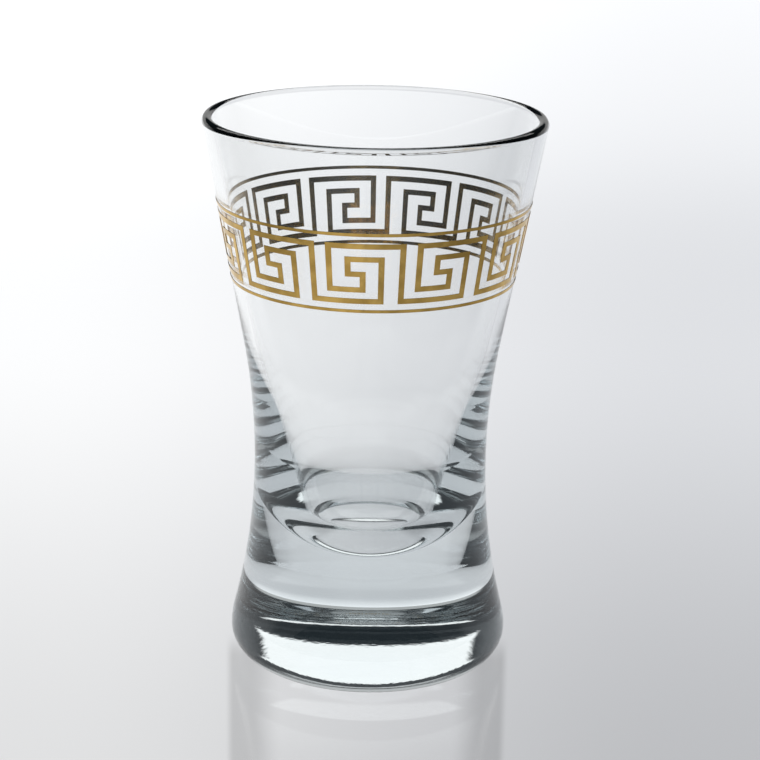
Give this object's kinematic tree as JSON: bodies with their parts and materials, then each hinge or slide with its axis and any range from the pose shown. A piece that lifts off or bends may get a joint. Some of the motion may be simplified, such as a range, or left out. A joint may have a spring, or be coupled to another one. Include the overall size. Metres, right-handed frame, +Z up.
{
  "type": "shot glass",
  "caption": "Clear waisted shot glass with a thick solid base, a round rim and a fired gold key-pattern band between two thin gold lines.",
  "frame": {"origin": "centre of the plane that the glass stands on", "axes": "+Z up along the glass's axis; -Y is the side shown to the viewer, and +X is to that viewer's right"},
  "size_m": [0.0482, 0.0482, 0.0797],
  "materials": {
    "clear_glass": "clear, fire-polished, with a faint cool grey tint in thick glass",
    "gold_line": "thin fired gold, bright, slightly uneven",
    "gold_key": "thin fired gold, bright, slightly uneven"
  },
  "bodies": {
    "root": {"glass_body": "clear_glass", "upper_gold_line": "gold_line", "gold_key_band": "gold_key", "lower_gold_line": "gold_line"}
  },
  "joints": []
}
